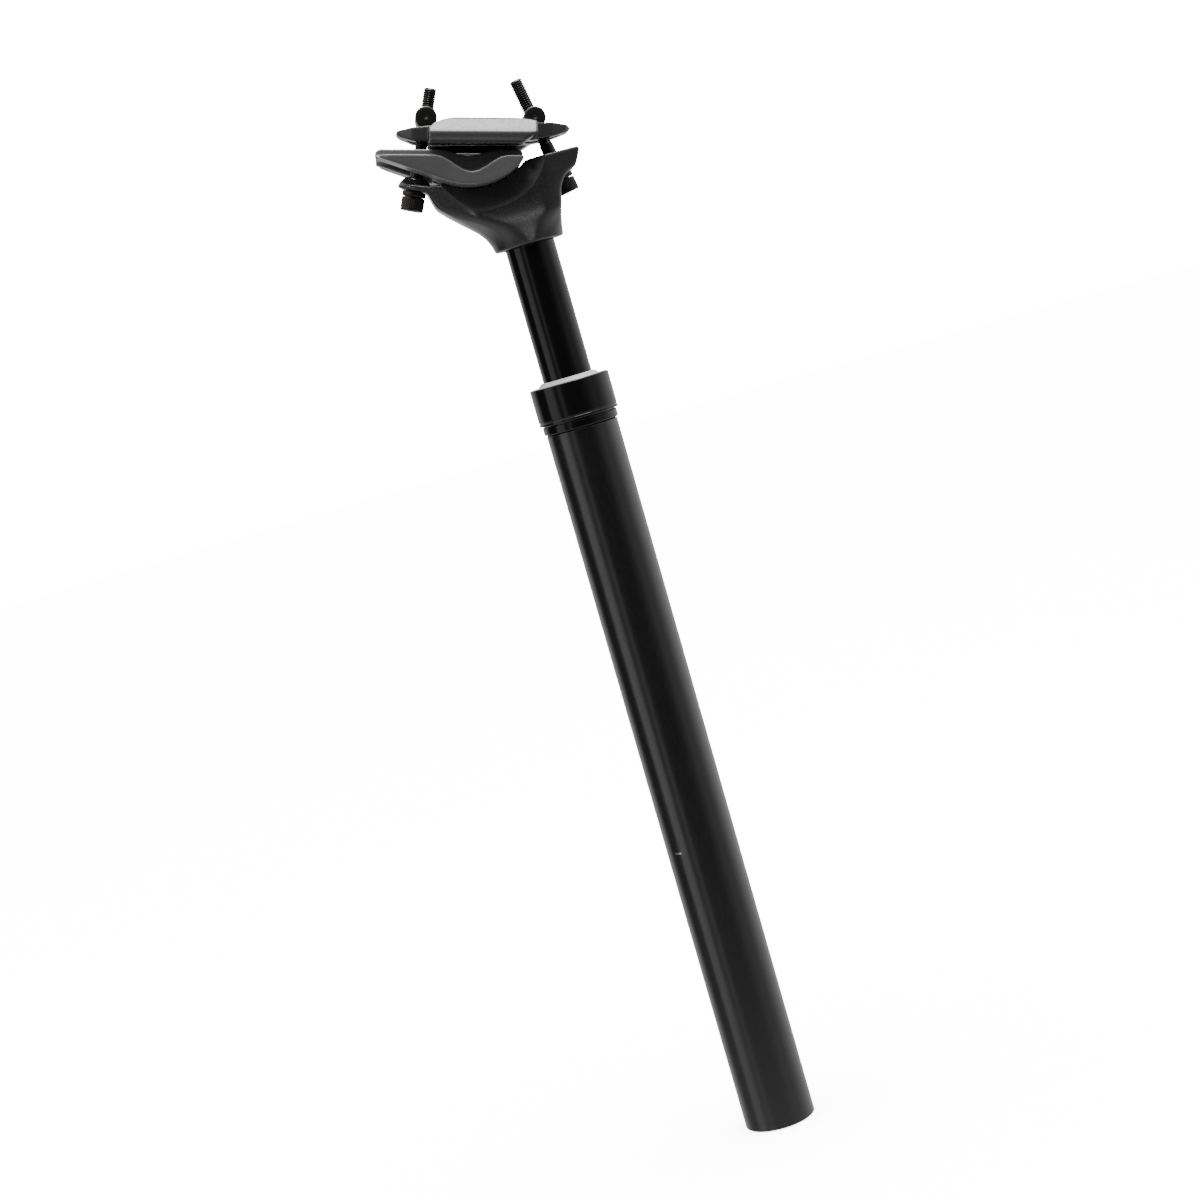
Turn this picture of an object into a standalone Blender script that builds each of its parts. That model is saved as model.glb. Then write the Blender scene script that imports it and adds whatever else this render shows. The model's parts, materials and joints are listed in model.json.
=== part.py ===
"""A telescopic suspension seatpost: a sprung shaft in a tube, with a two-screw saddle clamp.

Metres. +Z runs up the post from the bottom end of the outer tube, +X is forward and +Y is the
left of the bicycle. The saddle clamp is drawn in a tilted frame of its own: x runs along the
saddle rails, z away from them, and the origin is the centre of the arc that the clamp rocks on.
"""

import math

import bmesh
import bpy
from mathutils import Matrix, Vector

MM = 0.001
GAP = 0.3 * MM  # kept between neighbouring pieces
OUTER_STEPS = 40  # sides of the large turned pieces
INNER_STEPS = 28  # sides of the small turned pieces

# Outer tube
TUBE_RADIUS = 13.6 * MM
TUBE_BORE = 11.5 * MM
TUBE_LENGTH = 284.0 * MM
TUBE_CHAMFER = 0.6 * MM
THREAD_RADIUS = 12.9 * MM
THREAD_START = 275.1 * MM
KEYWAY_RADIUS = 12.5 * MM
KEYWAY_TOP = 236.0 * MM
KEY_HALF_WIDTH = 2.0 * MM
SLIDER_RADIUS = TUBE_BORE - GAP  # pieces that sit or slide in the bore

# Collar at the mouth of the tube
LOCK_RING_RADIUS = 14.25 * MM
LOCK_RING_HEIGHT = 3.1 * MM
COLLAR_RADIUS = 15.1 * MM
COLLAR_HEIGHT = 14.0 * MM
COLLAR_CHAMFER = 0.5 * MM
COLLAR_WEB_BOTTOM = 7.8 * MM  # the web above the bush, measured up the collar
COLLAR_WEB_TOP = 10.4 * MM
SEAL_RADIUS = 12.2 * MM
SEAL_LIP_HEIGHT = 2.2 * MM

# Telescopic shaft
SHAFT_RADIUS = 9.3 * MM
SHAFT_BORE = 7.3 * MM
SHAFT_BOTTOM = 217.0 * MM
SHAFT_TOP = 360.0 * MM
SHAFT_SLEEVE = SHAFT_RADIUS + GAP  # inner radius of what surrounds the shaft
FOOT_HEIGHT = 11.7 * MM
FOOT_SPIGOT = 11.0 * MM
LOWER_BUSH_HEIGHT = 14.7 * MM
CIRCLIP_HEIGHT = 1.2 * MM
TOPOUT_HEIGHT = 5.5 * MM
UPPER_BUSH_BOTTOM = 258.0 * MM
BUSH_FLANGE_RADIUS = 12.8 * MM
BUSH_FLANGE_HEIGHT = 2.0 * MM
TRAVEL = 40.0 * MM

# Spring stack, from the bottom end of the tube upwards
PLUG_BOTTOM = 1.5 * MM
PLUG_HEIGHT = 14.5 * MM
PLUG_HEX = 10.0 * MM  # across the flats
PLUG_HEX_DEPTH = 8.0 * MM
THRUST_HEIGHT = 2.5 * MM
ELASTOMER_HEIGHT = 24.0 * MM
ELASTOMER_RADIUS = 10.2 * MM
SPACER_HEIGHT = 4.0 * MM
SPIGOT_RADIUS = 6.7 * MM
SPIGOT_HEIGHT = 7.6 * MM
UPPER_SEAT_HEIGHT = 4.0 * MM
UPPER_SPIGOT_HEIGHT = 9.7 * MM
STACK_BORE = 2.5 * MM
BUMPER_RADIUS = 5.6 * MM
WIRE_RADIUS = 1.5 * MM
COIL_RADIUS = 8.9 * MM
COIL_DEAD_TURNS = 1.25  # closed turns at each end
COIL_ACTIVE_TURNS = 14
COIL_POINTS_PER_TURN = 12

# Head
HEAD_BOTTOM = 344.6 * MM
NECK_RADIUS = 13.2 * MM
SOCKET_TOP = SHAFT_TOP + GAP
FLANGE_TOP = 374.0 * MM
FLANGE_TIP = 26.8 * MM
BOSS_RADIUS = 6.4 * MM
BOSS_HEIGHT = 5.6 * MM  # dome above the rear screw's seat
REAR_FLANGE = 2.2 * MM
SEAT_BACK = 20.0  # degrees behind the clamp's own vertical where the seat's arc ends

# Rocking saddle clamp, in its tilted frame
ROCKER_X = -9.5 * MM
ROCKER_Z = 394.8 * MM
CLAMP_TILT = math.radians(16.0)
ROCKER_RADIUS = 25.7 * MM
SEAT_RADIUS = ROCKER_RADIUS + 0.35 * MM
SEAT_FLAT = 10.5 * MM  # half the seat's width, before its bevels
SEAT_BEVEL = 3.2 * MM  # drop of the bevel across the last 2.5 mm of the head's width
RAIL_Y = 22.0 * MM
RAIL_Z = -13.3 * MM
GROOVE_RADIUS = 3.6 * MM
LIP_Y = 27.4 * MM
LAND_Z = -15.3 * MM
RIDGE_Y = 18.6 * MM
RIDGE_Z = -12.7 * MM
CRADLE_BACK = -33.4 * MM
CRADLE_FRONT = 19.7 * MM
WING_START = -12.5 * MM  # behind this the cradle is two walls under a thin plate
WING_GAP = 11.5 * MM
WING_PLATE_Z = -15.2 * MM
COVER_BACK = -14.0 * MM
COVER_FRONT = 24.8 * MM
COVER_TOP = -1.5 * MM
COVER_LIP_Z = -11.2 * MM
BRIDGE_TOP = -4.2 * MM
BRIDGE_BOTTOM = -8.2 * MM

# Clamp screws: M5 socket-head screws in barrel nuts
SCREW_RADIUS = 2.5 * MM
SCREW_LENGTH = 40.0 * MM
SCREW_HEAD_RADIUS = 4.25 * MM
SCREW_HEAD_HEIGHT = 5.0 * MM
SCREW_HEX = 4.0 * MM
SCREW_HEX_DEPTH = 2.6 * MM
SCREW_BORE = 3.2 * MM
WASHER_RADIUS = 4.35 * MM
SCREW_POCKET = 5.0 * MM
WASHER_HEIGHT = 1.7 * MM
NUT_RADIUS = 4.0 * MM
NUT_HALF_LENGTH = 9.0 * MM
NUT_CHAMFER = 0.6 * MM
# Each screw: its nut's centre in the clamp frame, its lean there, and seat-to-nut distance.
SCREWS = {
    "rear": ((-14.9 * MM, -0.4 * MM), math.radians(9.3), 26.4 * MM),
    "front": ((24.6 * MM, -0.1 * MM), math.radians(-25.9), 22.1 * MM),
}

# Colour (linear), roughness and metallic value of each finish
FINISHES = {
    "anodised_tube": ((0.020, 0.020, 0.022), 0.42, 0.7),
    "polished_black": ((0.008, 0.008, 0.009), 0.12, 0.8),
    "forged_black": ((0.030, 0.030, 0.032), 0.36, 0.6),
    "blackened_steel": ((0.022, 0.021, 0.020), 0.33, 0.9),
    "pale_nylon": ((0.55, 0.55, 0.54), 0.45, 0.0),
    "black_nylon": ((0.015, 0.015, 0.015), 0.50, 0.0),
    "spring_steel": ((0.10, 0.10, 0.11), 0.30, 1.0),
    "bush_bronze": ((0.45, 0.29, 0.12), 0.40, 1.0),
    "elastomer_red": ((0.42, 0.05, 0.03), 0.60, 0.0),
    "rubber_black": ((0.012, 0.012, 0.012), 0.75, 0.0),
    "turned_alloy": ((0.60, 0.60, 0.61), 0.28, 1.0),
}


# Scene and object helpers


def clear_scene():
    """Removes every object, and makes the collections for the parts and the cutters."""
    for obj in list(bpy.data.objects):
        bpy.data.objects.remove(obj, do_unlink=True)
    for name in ("suspension_seatpost", "cutters"):
        collection = bpy.data.collections.new(name)
        bpy.context.scene.collection.children.link(collection)
        COLLECTIONS[name] = collection


def finish(name):
    """The material of this finish, made on first use."""
    found = bpy.data.materials.get(name)
    if found:
        return found
    colour, roughness, metallic = FINISHES[name]
    made = bpy.data.materials.new(name)
    made.use_nodes = True
    shader = made.node_tree.nodes["Principled BSDF"]
    shader.inputs["Base Color"].default_value = (*colour, 1.0)
    shader.inputs["Roughness"].default_value = roughness
    shader.inputs["Metallic"].default_value = metallic
    return made


def place(name, mesh, look, frame=None, location=(0, 0, 0), lean=0.0, roll=0.0):
    """Adds an object; one with no look is a cutter. Lean turns it about Y, roll about X first."""
    obj = bpy.data.objects.new(name, mesh)
    obj.location = location
    obj.rotation_euler = (roll, lean, 0)
    obj.parent = frame
    if look:
        mesh.materials.append(finish(look))
        COLLECTIONS["suspension_seatpost"].objects.link(obj)
    else:
        obj.hide_render = True
        obj.display_type = "WIRE"
        COLLECTIONS["cutters"].objects.link(obj)
    return obj


def smooth(mesh, angle=35.0):
    mesh.shade_smooth()
    mesh.set_sharp_from_angle(angle=math.radians(angle))
    return mesh


def turned(name, profile, look, steps=INNER_STEPS, ring=True, **where):
    """Spins (radius, height) points about Z: down the outer side, then up the bore of a ring."""
    mesh = bpy.data.meshes.new(name)
    points = [(radius, 0, height) for radius, height in profile]
    edges = [(i, i + 1) for i in range(len(points) - 1)]
    if ring:
        edges.append((len(points) - 1, 0))
    mesh.from_pydata(points, edges, [])
    obj = place(name, mesh, look, **where)
    turn = obj.modifiers.new("Turn", "SCREW")
    turn.steps = steps
    turn.render_steps = steps
    turn.use_merge_vertices = True
    turn.merge_threshold = 0.00001
    turn.use_smooth_shade = True
    return obj


def ring(name, outer, bore, bottom, top, look, chamfer=0.4 * MM, **where):
    """A plain ring or sleeve with chamfered outer edges."""
    profile = [
        (outer - chamfer, top),
        (outer, top - chamfer),
        (outer, bottom + chamfer),
        (outer - chamfer, bottom),
        (bore, bottom),
        (bore, top),
    ]
    return turned(name, profile, look, **where)


TURN_TO = {
    "plan": Matrix.Identity(4),  # outline in x and y, thickness along Z
    "side": Matrix.Rotation(math.pi / 2, 4, "X"),  # outline in x and z, thickness along Y
    "front": Matrix(((0, 0, 1, 0), (1, 0, 0, 0), (0, 1, 0, 0), (0, 0, 0, 1))),  # y and z, along X
}


def slab(name, outline, half_depth, facing, look=None, **where):
    """A solid of even thickness with the given outline."""
    curve = bpy.data.curves.new(name, "CURVE")
    curve.dimensions = "2D"
    curve.fill_mode = "BOTH"
    curve.extrude = half_depth
    spline = curve.splines.new("POLY")
    spline.points.add(len(outline) - 1)
    for point, (across, along) in zip(spline.points, outline):
        point.co = (across, along, 0, 1)
    spline.use_cyclic_u = True
    drawn = bpy.data.objects.new(name, curve)
    COLLECTIONS["cutters"].objects.link(drawn)
    graph = bpy.context.evaluated_depsgraph_get()
    mesh = bpy.data.meshes.new_from_object(drawn.evaluated_get(graph))
    bpy.data.objects.remove(drawn)
    weld(mesh)
    mesh.transform(TURN_TO[facing])
    mesh.name = name
    return place(name, smooth(mesh), look, **where)


def weld(mesh):
    work = bmesh.new()
    work.from_mesh(mesh)
    bmesh.ops.remove_doubles(work, verts=work.verts, dist=0.00001)
    bmesh.ops.recalc_face_normals(work, faces=work.faces)
    work.to_mesh(mesh)
    work.free()


def rod(name, radius, bottom, top, look=None, sides=20, **where):
    """A cylinder about its own Z, or a hexagonal prism with six sides."""
    mesh = bpy.data.meshes.new(name)
    work = bmesh.new()
    middle = Matrix.Translation((0, 0, (bottom + top) / 2))
    bmesh.ops.create_cone(
        work, cap_ends=True, segments=sides, radius1=radius, radius2=radius, depth=top - bottom, matrix=middle
    )
    work.to_mesh(mesh)
    work.free()
    return place(name, smooth(mesh), look, **where)


def block(name, low, high, look=None, **where):
    """A box between two corners."""
    mesh = bpy.data.meshes.new(name)
    work = bmesh.new()
    size = Vector(high) - Vector(low)
    centre = (Vector(high) + Vector(low)) / 2
    bmesh.ops.create_cube(work, size=1.0, matrix=Matrix.Translation(centre) @ Matrix.Diagonal((*size, 1)))
    work.to_mesh(mesh)
    work.free()
    return place(name, mesh, look, **where)


def combine(target, operation, *tools):
    """Adds one exact Boolean modifier to the target for each tool."""
    for tool in tools:
        step = target.modifiers.new(tool.name, "BOOLEAN")
        step.operation = operation
        step.solver = "EXACT"
        step.use_self = True  # flat faces that meet edge to edge would leave cracks without it
        step.object = tool
    return target


def arc(centre, radius, start, end, count):
    """Points on an arc; angles in degrees, anticlockwise from the outline's first axis."""
    angles = [math.radians(start + (end - start) * i / (count - 1)) for i in range(count)]
    return [(centre[0] + radius * math.cos(a), centre[1] + radius * math.sin(a)) for a in angles]


def millimetres(points):
    return [(a * MM, b * MM) for a, b in points]


def both_sides(half):
    """Closes a half outline, given at positive first coordinates, with its mirror image."""
    return half + [(-a, b) for a, b in reversed(half) if a > 0]


# Tube, collar and bushes


def make_tube():
    tube = turned(
        "outer_tube",
        [
            (THREAD_RADIUS, TUBE_LENGTH),
            (THREAD_RADIUS, THREAD_START),
            (TUBE_RADIUS, THREAD_START),
            (TUBE_RADIUS, TUBE_CHAMFER),
            (TUBE_RADIUS - TUBE_CHAMFER, 0),
            (TUBE_BORE + TUBE_CHAMFER / 2, 0),
            (TUBE_BORE, TUBE_CHAMFER),
            (TUBE_BORE, TUBE_LENGTH),
        ],
        "anodised_tube",
        steps=OUTER_STEPS,
    )
    width = KEY_HALF_WIDTH + GAP
    for side, sign in (("left", 1), ("right", -1)):
        near, far = sorted((sign * 9 * MM, sign * KEYWAY_RADIUS))
        keyway = block("keyway_" + side, (-width, near, -1 * MM), (width, far, KEYWAY_TOP))
        combine(tube, "DIFFERENCE", keyway)


def make_collar():
    ring_bottom = THREAD_START + GAP
    ring(
        "lock_ring",
        LOCK_RING_RADIUS,
        THREAD_RADIUS + GAP,
        ring_bottom,
        ring_bottom + LOCK_RING_HEIGHT,
        "polished_black",
        steps=OUTER_STEPS,
    )
    bottom = ring_bottom + LOCK_RING_HEIGHT + GAP
    top = bottom + COLLAR_HEIGHT
    web_bottom = bottom + COLLAR_WEB_BOTTOM
    web_top = bottom + COLLAR_WEB_TOP
    turned(
        "collar_nut",
        [
            (COLLAR_RADIUS - COLLAR_CHAMFER, top),
            (COLLAR_RADIUS, top - COLLAR_CHAMFER),
            (COLLAR_RADIUS, bottom + COLLAR_CHAMFER),
            (COLLAR_RADIUS - COLLAR_CHAMFER, bottom),
            (THREAD_RADIUS + GAP, bottom),
            (THREAD_RADIUS + GAP, web_bottom),
            (SHAFT_SLEEVE + GAP, web_bottom),
            (SHAFT_SLEEVE + GAP, web_top),
            (SEAL_RADIUS + GAP, web_top),
            (SEAL_RADIUS + GAP, top),
        ],
        "polished_black",
        steps=OUTER_STEPS,
    )
    lip_foot = SHAFT_SLEEVE + 1.5 * MM
    turned(
        "wiper_seal",
        [
            (SHAFT_SLEEVE + 0.6 * MM, top + SEAL_LIP_HEIGHT),
            (lip_foot, top),
            (SEAL_RADIUS, top),
            (SEAL_RADIUS, web_top + GAP),
            (SHAFT_SLEEVE, web_top + GAP),
            (SHAFT_SLEEVE, top + SEAL_LIP_HEIGHT),
        ],
        "pale_nylon",
        steps=OUTER_STEPS,
    )


def make_bushes():
    flange_bottom = TUBE_LENGTH + GAP
    turned(
        "upper_bushing",
        [
            (BUSH_FLANGE_RADIUS, flange_bottom + BUSH_FLANGE_HEIGHT),
            (BUSH_FLANGE_RADIUS, flange_bottom),
            (SLIDER_RADIUS, flange_bottom),
            (SLIDER_RADIUS, UPPER_BUSH_BOTTOM),
            (SHAFT_SLEEVE, UPPER_BUSH_BOTTOM),
            (SHAFT_SLEEVE, flange_bottom + BUSH_FLANGE_HEIGHT),
        ],
        "black_nylon",
    )
    bush_top = SHAFT_BOTTOM + LOWER_BUSH_HEIGHT
    ring("lower_bushing", SLIDER_RADIUS, SHAFT_SLEEVE, SHAFT_BOTTOM, bush_top, "bush_bronze")
    clip_bottom = bush_top + GAP
    clip_top = clip_bottom + CIRCLIP_HEIGHT
    circlip = ring(
        "shaft_circlip",
        SLIDER_RADIUS - GAP,
        SHAFT_SLEEVE,
        clip_bottom,
        clip_top,
        "spring_steel",
        chamfer=0.2 * MM,
    )
    mouth = block("circlip_mouth", (6 * MM, -3 * MM, clip_bottom - MM), (13 * MM, 3 * MM, clip_top + MM))
    combine(circlip, "DIFFERENCE", mouth)
    bumper_bottom = clip_top + GAP
    bumper_top = bumper_bottom + TOPOUT_HEIGHT
    ring("topout_bumper", SLIDER_RADIUS, SHAFT_SLEEVE, bumper_bottom, bumper_top, "rubber_black")
    ring(
        "travel_spacer", SLIDER_RADIUS, SHAFT_SLEEVE, bumper_top + GAP, UPPER_BUSH_BOTTOM - GAP, "black_nylon"
    )


# Shaft, foot and keys


def make_shaft():
    chamfer = 0.6 * MM
    turned(
        "inner_shaft",
        [
            (SHAFT_RADIUS - chamfer, SHAFT_TOP),
            (SHAFT_RADIUS, SHAFT_TOP - chamfer),
            (SHAFT_RADIUS, SHAFT_BOTTOM + chamfer),
            (SHAFT_RADIUS - chamfer, SHAFT_BOTTOM),
            (SHAFT_BORE, SHAFT_BOTTOM),
            (SHAFT_BORE, SHAFT_TOP),
        ],
        "polished_black",
        steps=OUTER_STEPS,
    )
    foot_top = SHAFT_BOTTOM - GAP
    foot_bottom = foot_top - FOOT_HEIGHT
    spigot = SHAFT_BORE - GAP
    foot = turned(
        "shaft_foot",
        [
            (spigot, foot_top + FOOT_SPIGOT),
            (spigot, foot_top),
            (SLIDER_RADIUS, foot_top),
            (SLIDER_RADIUS, foot_bottom),
            (STACK_BORE, foot_bottom),
            (STACK_BORE, foot_top + FOOT_SPIGOT),
        ],
        "turned_alloy",
    )
    key_floor = SHAFT_RADIUS
    key_bottom = foot_bottom + 1.8 * MM
    for side, sign in (("left", 1), ("right", -1)):
        slot_low, slot_high = sorted((sign * key_floor, sign * (SLIDER_RADIUS + MM)))
        slot_width = KEY_HALF_WIDTH + GAP
        slot = block(
            "key_slot_" + side,
            (-slot_width, slot_low, key_bottom - GAP),
            (slot_width, slot_high, foot_top + MM),
        )
        combine(foot, "DIFFERENCE", slot)
        low, high = sorted((sign * (key_floor + GAP), sign * (KEYWAY_RADIUS - GAP)))
        block(
            "key_" + side,
            (-KEY_HALF_WIDTH, low, key_bottom),
            (KEY_HALF_WIDTH, high, foot_top - GAP),
            "bush_bronze",
        )
    return foot_bottom


# Spring stack


def make_plug():
    chamfer = 0.8 * MM
    top = PLUG_BOTTOM + PLUG_HEIGHT
    plug = turned(
        "preload_plug",
        [
            (0, top),
            (SLIDER_RADIUS - chamfer, top),
            (SLIDER_RADIUS, top - chamfer),
            (SLIDER_RADIUS, PLUG_BOTTOM + chamfer),
            (SLIDER_RADIUS - chamfer, PLUG_BOTTOM),
            (0, PLUG_BOTTOM),
        ],
        "turned_alloy",
        ring=False,
    )
    corner = PLUG_HEX / math.sqrt(3)
    socket = rod("plug_socket", corner, PLUG_BOTTOM - MM, PLUG_BOTTOM + PLUG_HEX_DEPTH, sides=6)
    combine(plug, "DIFFERENCE", socket)
    return top


def make_lower_stack(plug_top):
    """The thrust washer, the elastomer block and the spring's lower seat, on top of the plug."""
    thrust_bottom = plug_top + GAP
    thrust_top = thrust_bottom + THRUST_HEIGHT
    ring("preload_seat", SLIDER_RADIUS, STACK_BORE, thrust_bottom, thrust_top, "spring_steel")
    bottom = thrust_top + GAP
    top = bottom + ELASTOMER_HEIGHT
    waist = ELASTOMER_RADIUS - 0.9 * MM
    profile = [(ELASTOMER_RADIUS, top)]
    lobes = 4
    for lobe in range(lobes):
        lobe_top = top - ELASTOMER_HEIGHT * lobe / lobes
        drop = ELASTOMER_HEIGHT / lobes
        profile.append((ELASTOMER_RADIUS, lobe_top - 0.3 * drop))
        profile.append((waist, lobe_top - 0.5 * drop))
        profile.append((ELASTOMER_RADIUS, lobe_top - 0.7 * drop))
    profile += [(ELASTOMER_RADIUS, bottom), (STACK_BORE, bottom), (STACK_BORE, top)]
    turned("lower_elastomer", profile, "elastomer_red")
    spacer_bottom = top + GAP
    spacer_top = spacer_bottom + SPACER_HEIGHT
    turned(
        "spring_spacer",
        [
            (SPIGOT_RADIUS, spacer_top + SPIGOT_HEIGHT),
            (SPIGOT_RADIUS, spacer_top),
            (SLIDER_RADIUS, spacer_top),
            (SLIDER_RADIUS, spacer_bottom),
            (STACK_BORE, spacer_bottom),
            (STACK_BORE, spacer_top + SPIGOT_HEIGHT),
        ],
        "black_nylon",
    )
    return spacer_top


def make_upper_stack(spacer_top, foot_bottom):
    """The spring's upper seat, the coil spring and the bottom-out rod inside it."""
    flange_top = foot_bottom - GAP
    flange_bottom = flange_top - UPPER_SEAT_HEIGHT
    spigot_bottom = flange_bottom - UPPER_SPIGOT_HEIGHT
    turned(
        "upper_spring_seat",
        [
            (SLIDER_RADIUS, flange_top),
            (SLIDER_RADIUS, flange_bottom),
            (SPIGOT_RADIUS, flange_bottom),
            (SPIGOT_RADIUS, spigot_bottom),
            (STACK_BORE, spigot_bottom),
            (STACK_BORE, flange_top),
        ],
        "black_nylon",
    )
    rod_bottom = spacer_top + SPIGOT_HEIGHT + GAP
    rod_top = spigot_bottom - TRAVEL - GAP
    chamfer = 1.2 * MM
    turned(
        "bumper_rod",
        [
            (0, rod_top),
            (BUMPER_RADIUS - chamfer, rod_top),
            (BUMPER_RADIUS, rod_top - chamfer),
            (BUMPER_RADIUS, rod_bottom + chamfer),
            (BUMPER_RADIUS - chamfer, rod_bottom),
            (0, rod_bottom),
        ],
        "elastomer_red",
        ring=False,
    )
    make_coil(spacer_top + GAP + WIRE_RADIUS, flange_bottom - GAP - WIRE_RADIUS)


def coil_height(turn, bottom, top):
    """Height of the wire's centre after this many turns, with closed turns at both ends."""
    dead_pitch = 2 * WIRE_RADIUS + GAP
    dead_rise = COIL_DEAD_TURNS * dead_pitch
    active_pitch = (top - bottom - 2 * dead_rise) / COIL_ACTIVE_TURNS
    active = min(max(turn - COIL_DEAD_TURNS, 0), COIL_ACTIVE_TURNS)
    return bottom + active * active_pitch + (turn - active) * dead_pitch


def make_coil(bottom, top):
    turns = COIL_ACTIVE_TURNS + 2 * COIL_DEAD_TURNS
    count = round(turns * COIL_POINTS_PER_TURN) + 1
    curve = bpy.data.curves.new("coil_spring", "CURVE")
    curve.dimensions = "3D"
    curve.bevel_depth = WIRE_RADIUS
    curve.bevel_resolution = 2
    curve.use_fill_caps = True
    spline = curve.splines.new("POLY")
    spline.points.add(count - 1)
    for i, point in enumerate(spline.points):
        turn = i / COIL_POINTS_PER_TURN
        angle = 2 * math.pi * turn
        height = coil_height(turn, bottom, top)
        point.co = (COIL_RADIUS * math.cos(angle), COIL_RADIUS * math.sin(angle), height, 1)
    place("coil_spring", curve, "spring_steel")


# Head


def clamp_point(across, up):
    """World position of a point in the clamp's tilted frame, in its middle plane."""
    turn = Matrix.Rotation(CLAMP_TILT, 3, "Y")
    return Vector((ROCKER_X, 0, ROCKER_Z)) + turn @ Vector((across, 0, up))


def screw_seat(which):
    """The world position of a screw's seat on the head, and the lean of its axis from +Z."""
    nut, lean, reach = SCREWS[which]
    world_lean = lean + CLAMP_TILT
    axis = Vector((math.sin(world_lean), 0, math.cos(world_lean)))
    return clamp_point(*nut) - reach * axis, world_lean


def along_screw(which, across, up):
    """A (x, z) outline point given beside and along a screw's axis, measured from its seat."""
    seat, lean = screw_seat(which)
    return (
        seat.x + up * math.sin(lean) + across * math.cos(lean),
        seat.z + up * math.cos(lean) - across * math.sin(lean),
    )


def head_side_outline():
    """The head seen from the right-hand side of the bicycle, anticlockwise from the neck."""
    rocker = (ROCKER_X, ROCKER_Z)
    seat_front = -math.degrees(math.asin((ROCKER_Z - FLANGE_TOP) / SEAT_RADIUS))
    seat_back = -90 - math.degrees(CLAMP_TILT) - SEAT_BACK
    return [
        (-NECK_RADIUS, HEAD_BOTTOM),
        (NECK_RADIUS, HEAD_BOTTOM),
        *millimetres([(13.9, 351.0), (15.2, 356.5), (16.3, 361.0), (18.8, 364.9)]),
        (FLANGE_TIP - 2.9 * MM, FLANGE_TOP - 6.6 * MM),
        (FLANGE_TIP, FLANGE_TOP - 0.9 * MM),
        (FLANGE_TIP - 0.9 * MM, FLANGE_TOP),
        *arc(rocker, SEAT_RADIUS, seat_front, seat_back, 15),
        along_screw("rear", 4.0 * MM, REAR_FLANGE),
        along_screw("rear", -3.0 * MM, REAR_FLANGE),
        along_screw("rear", -4.5 * MM, 0),
        along_screw("rear", 4.6 * MM, 0),
        *millimetres([(-29.6, 366.0), (-23.7, 359.9), (-16.6, 353.2), (-14.6, 350.0)]),
    ]


def make_head():
    head = slab("head", head_side_outline(), 20 * MM, "side", "forged_black")
    plan = both_sides(
        millimetres([(8.0, 28.0), (10.5, 21.0), (14.3, 9.0), (14.3, -17.0)])
        + millimetres([(9.0, -29.0), (5.5, -37.0), (4.0, -41.0)])
    )
    plan = [(along, across) for across, along in plan]
    front = both_sides(
        millimetres([(13.2, 340.0), (13.2, 346.5), (13.5, 350.0), (14.3, 355.0)])
        + millimetres([(14.3, 362.0), (13.0, 372.0), (13.0, 395.0)])
    )
    flare = [
        (0, 400 * MM),
        (80 * MM, 400 * MM),
        *millimetres([(60.0, 376.0), (32.0, 366.0), (25.0, 360.0)]),
        *millimetres([(17.2, 353.2), (14.7, 350.0), (13.3, 346.5)]),
        (NECK_RADIUS, HEAD_BOTTOM + 0.5 * MM),
        (NECK_RADIUS - 0.5 * MM, HEAD_BOTTOM),
        (0, HEAD_BOTTOM),
    ]
    combine(
        head,
        "INTERSECT",
        slab("head_plan", plan, 440 * MM, "plan"),
        slab("head_front", front, 60 * MM, "front"),
        turned("head_flare", flare, None, steps=OUTER_STEPS, ring=False),
    )
    seat, lean = screw_seat("rear")
    boss = turned(
        "rear_boss",
        [
            (0, BOSS_HEIGHT),
            (0.45 * BOSS_RADIUS, 0.94 * BOSS_HEIGHT),
            (0.74 * BOSS_RADIUS, 0.72 * BOSS_HEIGHT),
            (0.92 * BOSS_RADIUS, 0.42 * BOSS_HEIGHT),
            (BOSS_RADIUS, 0.15 * BOSS_HEIGHT),
            (0.96 * BOSS_RADIUS, 0.05 * BOSS_HEIGHT),
            (0, 0.05 * BOSS_HEIGHT),
        ],
        None,
        steps=INNER_STEPS,
        ring=False,
        location=seat,
        lean=lean,
    )
    combine(head, "UNION", boss)
    socket = rod("head_socket", SHAFT_RADIUS + GAP, HEAD_BOTTOM - MM, SOCKET_TOP, sides=OUTER_STEPS)
    combine(head, "DIFFERENCE", socket)
    for side, roll in (("left", -math.pi / 2), ("right", math.pi / 2)):
        bevel = turned(
            "seat_bevel_" + side,
            [
                (0, 20 * MM),
                (SEAT_RADIUS + SEAT_BEVEL * (20 * MM - SEAT_FLAT) / (2.5 * MM), 20 * MM),
                (SEAT_RADIUS, SEAT_FLAT),
                (0, SEAT_FLAT),
            ],
            None,
            steps=60,
            ring=False,
            location=(ROCKER_X, 0, ROCKER_Z),
            roll=roll,
        )
        combine(head, "DIFFERENCE", bevel)
    for which in SCREWS:
        seat, lean = screw_seat(which)
        bore = rod(which + "_head_bore", SCREW_BORE, -3 * MM, 20 * MM, location=seat, lean=lean)
        pocket = rod(which + "_screw_pocket", SCREW_POCKET, -16 * MM, 0, location=seat, lean=lean)
        combine(head, "DIFFERENCE", bore, pocket)


# Saddle clamp


def slot_outline(back, front, half_width):
    """A slot with round ends, along the clamp."""
    return arc((front - half_width, 0), half_width, -90, 90, 7) + arc(
        (back + half_width, 0), half_width, 90, 270, 7
    )


def dip(position, back, front, depth):
    """Depth of a smooth dip between two places along the clamp."""
    if not back < position < front:
        return 0.0
    phase = (position - back) / (front - back)
    return depth * (1 - math.cos(2 * math.pi * phase)) / 2


def dipped_line(level, start, end, back, front, depth, count=11):
    """Points along a level line that dips between two places."""
    stations = [back + (front - back) * i / (count - 1) for i in range(count)]
    return [(s, level - dip(s, back, front, depth)) for s in [start, *stations, end]]


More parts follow.
